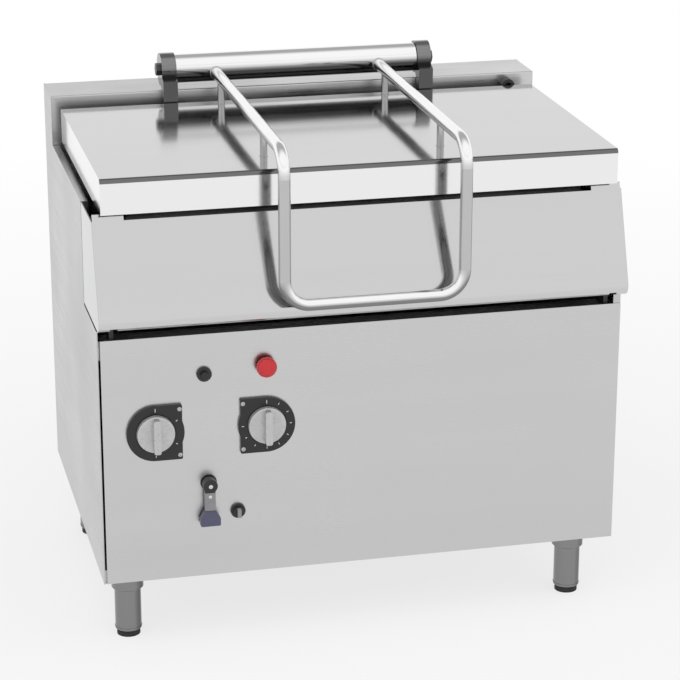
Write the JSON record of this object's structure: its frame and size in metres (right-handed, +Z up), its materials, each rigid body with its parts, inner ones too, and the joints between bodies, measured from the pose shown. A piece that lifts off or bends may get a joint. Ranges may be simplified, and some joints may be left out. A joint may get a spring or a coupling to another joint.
{
  "type": "tilting bratt pan",
  "caption": "Free-standing tilting bratt pan on legs: deep well tipped forward by an actuator, hinged lid with a tube handle, water tap and panel controls.",
  "frame": {"origin": "middle of the footprint on the floor", "axes": "+Z up, front with the controls towards -Y, +X to the right as seen from the front"},
  "size_m": [1, 0.7914, 1.0225],
  "materials": {
    "front_panel": "satin brushed stainless steel",
    "left_side_panel": "satin brushed stainless steel",
    "right_side_panel": "satin brushed stainless steel",
    "base_tray": "plain stainless sheet",
    "rear_panel": "plain stainless sheet",
    "upstand_cover": "satin brushed stainless steel",
    "front_cross_rail": "zinc plated steel",
    "rear_cross_rail": "zinc plated steel",
    "pan_rest_pads": "black rubber",
    "left_pivot_bracket": "zinc plated steel",
    "right_pivot_bracket": "zinc plated steel",
    "pivot_bushes": "sintered bronze",
    "leg_sleeves": "satin brushed stainless steel",
    "left_front_foot": "satin brushed stainless steel",
    "right_front_foot": "satin brushed stainless steel",
    "left_rear_foot": "satin brushed stainless steel",
    "right_rear_foot": "satin brushed stainless steel",
    "foot_pads": "moulded black plastic",
    "left_knob_bezel": "moulded black plastic",
    "right_knob_bezel": "moulded black plastic",
    "heat_selector": "moulded black plastic",
    "thermostat": "moulded black plastic",
    "control_housings": "black",
    "tap_valve": "nickel plated brass",
    "water_inlet": "brass",
    "supply_pipe": "plain stainless sheet",
    "spout_pipe": "plain stainless sheet",
    "water_spout": "moulded black plastic",
    "terminal_box": "grey plastic",
    "cable_gland": "moulded black plastic",
    "actuator_bracket": "zinc plated steel",
    "apron": "bright annealed stainless steel, close to a mirror",
    "pan_walls": "satin stainless steel",
    "pan_base_plate": "ground steel plate",
    "heating_elements": "dark oxidised sheath",
    "element_clamps": "zinc plated steel",
    "heater_cover": "plain stainless sheet",
    "left_pivot_arm": "plain stainless sheet",
    "right_pivot_arm": "plain stainless sheet",
    "pivot_pins": "zinc plated steel",
    "actuator_lug": "zinc plated steel",
    "hinge_ledge": "plain stainless sheet",
    "left_hinge_bracket": "satin brushed stainless steel",
    "right_hinge_bracket": "satin brushed stainless steel",
    "hinge_shaft": "zinc plated steel",
    "lid_shell": "bright annealed stainless steel, close to a mirror",
    "lid_liner": "plain stainless sheet",
    "lid_handle": "bright annealed stainless steel, close to a mirror",
    "handle_posts": "bright annealed stainless steel, close to a mirror",
    "hinge_tube": "satin brushed stainless steel",
    "lid_springs": "oiled spring steel",
    "actuator_body": "grey enamel",
    "actuator_rod": "chrome plated",
    "left_knob": "chrome plated",
    "right_knob": "chrome plated",
    "stop_button": "glossy red plastic",
    "push_button": "moulded black plastic",
    "tilt_switch": "grey plastic",
    "tap_lever": "chrome plated",
    "tap_grip": "blue grey plastic"
  },
  "bodies": {
    "chassis": {"front_panel": "front_panel", "left_side_panel": "left_side_panel", "right_side_panel": "right_side_panel", "base_tray": "base_tray", "rear_panel": "rear_panel", "upstand_cover": "upstand_cover", "front_cross_rail": "front_cross_rail", "rear_cross_rail": "rear_cross_rail", "pan_rest_pads": "pan_rest_pads", "left_pivot_bracket": "left_pivot_bracket", "right_pivot_bracket": "right_pivot_bracket", "pivot_bushes": "pivot_bushes", "leg_sleeves": "leg_sleeves", "left_front_foot": "left_front_foot", "right_front_foot": "right_front_foot", "left_rear_foot": "left_rear_foot", "right_rear_foot": "right_rear_foot", "foot_pads": "foot_pads", "left_knob_bezel": "left_knob_bezel", "right_knob_bezel": "right_knob_bezel", "heat_selector": "heat_selector", "thermostat": "thermostat", "control_housings": "control_housings", "tap_valve": "tap_valve", "water_inlet": "water_inlet", "supply_pipe": "supply_pipe", "spout_pipe": "spout_pipe", "water_spout": "water_spout", "terminal_box": "terminal_box", "cable_gland": "cable_gland", "actuator_bracket": "actuator_bracket"},
    "pan": {"apron": "apron", "pan_walls": "pan_walls", "pan_base_plate": "pan_base_plate", "heating_elements": "heating_elements", "element_clamps": "element_clamps", "heater_cover": "heater_cover", "left_pivot_arm": "left_pivot_arm", "right_pivot_arm": "right_pivot_arm", "pivot_pins": "pivot_pins", "actuator_lug": "actuator_lug", "hinge_ledge": "hinge_ledge", "left_hinge_bracket": "left_hinge_bracket", "right_hinge_bracket": "right_hinge_bracket", "hinge_shaft": "hinge_shaft"},
    "lid": {"lid_shell": "lid_shell", "lid_liner": "lid_liner", "lid_handle": "lid_handle", "handle_posts": "handle_posts", "hinge_tube": "hinge_tube", "lid_springs": "lid_springs"},
    "actuator_body": {"actuator_body": "actuator_body"},
    "actuator_rod": {"actuator_rod": "actuator_rod"},
    "left_knob": {"left_knob": "left_knob"},
    "right_knob": {"right_knob": "right_knob"},
    "stop_button": {"stop_button": "stop_button"},
    "push_button": {"push_button": "push_button"},
    "tilt_switch": {"tilt_switch": "tilt_switch"},
    "tap_lever": {"tap_lever": "tap_lever", "tap_grip": "tap_grip"}
  },
  "joints": [
    {"name": "pan_tilt", "type": "hinge", "parent": "chassis", "child": "pan", "pos_m": [0, -0.32225, 0.676], "axis": [1, 0, 0], "range_deg": [0, 80]},
    {"name": "lid_hinge", "type": "hinge", "parent": "pan", "child": "lid", "pos_m": [0, 0.29575, 0.99], "axis": [-1, 0, 0], "range_deg": [0, 85]},
    {"name": "actuator_swing", "type": "hinge", "parent": "chassis", "child": "actuator_body", "pos_m": [0, -0.22007, 0.28927], "axis": [1, 0, 0], "range_deg": [0, 40]},
    {"name": "rod_extend", "type": "slide", "parent": "actuator_body", "child": "actuator_rod", "axis": [0, 0.6455, 0.7638], "range_m": [0, 0.31398]},
    {"name": "left_knob_turn", "type": "hinge", "parent": "chassis", "child": "left_knob", "pos_m": [-0.397, -0.31925, 0.446], "axis": [0, 1, 0], "range_deg": [0, 180]},
    {"name": "right_knob_turn", "type": "hinge", "parent": "chassis", "child": "right_knob", "pos_m": [-0.188, -0.31925, 0.446], "axis": [0, 1, 0], "range_deg": [0, 270]},
    {"name": "stop_push", "type": "slide", "parent": "chassis", "child": "stop_button", "axis": [0, 1, 0], "range_m": [0, 0.005], "stiffness_N_per_m": 600},
    {"name": "push_button_push", "type": "slide", "parent": "chassis", "child": "push_button", "axis": [0, 1, 0], "range_m": [0, 0.003], "stiffness_N_per_m": 500},
    {"name": "tilt_switch_turn", "type": "hinge", "parent": "chassis", "child": "tilt_switch", "pos_m": [-0.244, -0.31925, 0.277], "axis": [0, 1, 0], "range_deg": [-45, 45], "stiffness_Nm_per_rad": 0.05},
    {"name": "tap_lever_turn", "type": "hinge", "parent": "chassis", "child": "tap_lever", "pos_m": [-0.299, -0.31425, 0.339], "axis": [0, 1, 0], "range_deg": [0, 90]}
  ],
  "couplings": [
    {"joint": "actuator_swing", "follows": "pan_tilt", "ratio": 0.5},
    {"joint": "rod_extend", "follows": "pan_tilt", "m_per_rad": 0.2248}
  ]
}
